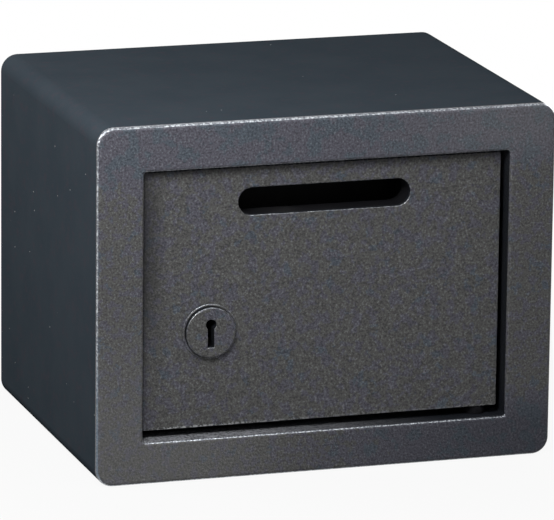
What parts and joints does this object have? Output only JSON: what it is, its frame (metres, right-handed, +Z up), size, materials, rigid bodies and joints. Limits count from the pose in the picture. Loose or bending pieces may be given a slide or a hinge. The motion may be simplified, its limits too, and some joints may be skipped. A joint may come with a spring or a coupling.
{
  "type": "deposit safe",
  "caption": "Small dark grey steel safe with a rounded frame, a flush hinged door, a wide deposit slot, a keyhole in a round escutcheon and a concealed key-worked bolt lock.",
  "frame": {"origin": "middle of the footprint, on the surface that the safe stands on", "axes": "+Z up, the door faces -Y, +X to the right seen from the front"},
  "size_m": [0.33, 0.252, 0.252],
  "materials": {
    "frame_paint": "dark grey hammered powder coat",
    "cabinet_paint": "dark slate grey powder coat, fine grain",
    "black_paint": "thin satin black coat",
    "black_steel": "blackened and oiled",
    "zinc_steel": "zinc plated",
    "bright_steel": "turned",
    "brass": "stamped",
    "felt": "black needle felt"
  },
  "bodies": {
    "cabinet": {"body_shell": "cabinet_paint", "back_panel": "cabinet_paint", "front_frame": "frame_paint", "hinge_plate_lower": "cabinet_paint", "hinge_plate_upper": "cabinet_paint", "bolt_keeper": "cabinet_paint", "door_stops": "cabinet_paint", "floor_mat": "felt"},
    "door": {"door_plate": "frame_paint", "escutcheon": "frame_paint", "slot_liner": "black_paint", "chute_slide": "black_paint", "chute_hood": "black_paint", "anti_fish_teeth": "black_paint", "hinge_block_lower": "black_paint", "hinge_block_upper": "black_paint", "bolt_guide": "black_paint", "boltwork_cover": "black_paint", "hinge_pin_lower": "black_steel", "hinge_pin_upper": "black_steel", "hinge_spacer": "black_steel", "lock_case": "zinc_steel", "lock_cover": "zinc_steel", "cover_and_hood_screws": "zinc_steel", "lock_screws": "zinc_steel", "lock_cover_screws": "zinc_steel", "lever_post": "bright_steel", "lever_stop_pin": "bright_steel", "lock_bolt_guide_post": "bright_steel", "lever_springs": "bright_steel"},
    "boltwork": {"lock_bolt": "zinc_steel", "bolt_bar": "zinc_steel", "live_bolt_lower": "bright_steel", "live_bolt_upper": "bright_steel", "bolt_screws": "zinc_steel"},
    "key_barrel": {"key_barrel": "black_steel"},
    "lever_1": {"lever_1": "brass"},
    "lever_2": {"lever_2": "brass"},
    "lever_3": {"lever_3": "brass"},
    "lever_4": {"lever_4": "brass"},
    "lever_5": {"lever_5": "brass"}
  },
  "joints": [
    {"name": "door_swing", "type": "hinge", "parent": "cabinet", "child": "door", "pos_m": [0.115, -0.109, 0.12665], "axis": [0, 0, 1], "range_deg": [0, 110]},
    {"name": "bolt_throw", "type": "slide", "parent": "door", "child": "boltwork", "axis": [-1, 0, 0], "range_m": [0, 0.014]},
    {"name": "key_turn", "type": "hinge", "parent": "door", "child": "key_barrel", "pos_m": [-0.0823, -0.105, 0.109], "axis": [0, -1, 0], "range_deg": [0, 360]},
    {"name": "lever_1_lift", "type": "hinge", "parent": "door", "child": "lever_1", "pos_m": [-0.0535, -0.1059, 0.1315], "axis": [0, 1, 0], "range_deg": [0, 6], "deforming": ["lever_springs"]},
    {"name": "lever_2_lift", "type": "hinge", "parent": "door", "child": "lever_2", "pos_m": [-0.0535, -0.1037, 0.1315], "axis": [0, 1, 0], "range_deg": [0, 8]},
    {"name": "lever_3_lift", "type": "hinge", "parent": "door", "child": "lever_3", "pos_m": [-0.0535, -0.1015, 0.1315], "axis": [0, 1, 0], "range_deg": [0, 5]},
    {"name": "lever_4_lift", "type": "hinge", "parent": "door", "child": "lever_4", "pos_m": [-0.0535, -0.0993, 0.1315], "axis": [0, 1, 0], "range_deg": [0, 7]},
    {"name": "lever_5_lift", "type": "hinge", "parent": "door", "child": "lever_5", "pos_m": [-0.0535, -0.0971, 0.1315], "axis": [0, 1, 0], "range_deg": [0, 6.5]}
  ],
  "couplings": [
    {"joint": "key_turn", "follows": "bolt_throw", "rad_per_m": 448.8},
    {"joint": "lever_1_lift", "follows": "bolt_throw", "rad_per_m": 7.4799},
    {"joint": "lever_2_lift", "follows": "bolt_throw", "rad_per_m": 9.9733},
    {"joint": "lever_3_lift", "follows": "bolt_throw", "rad_per_m": 6.2333},
    {"joint": "lever_4_lift", "follows": "bolt_throw", "rad_per_m": 8.7266},
    {"joint": "lever_5_lift", "follows": "bolt_throw", "rad_per_m": 8.1033}
  ]
}
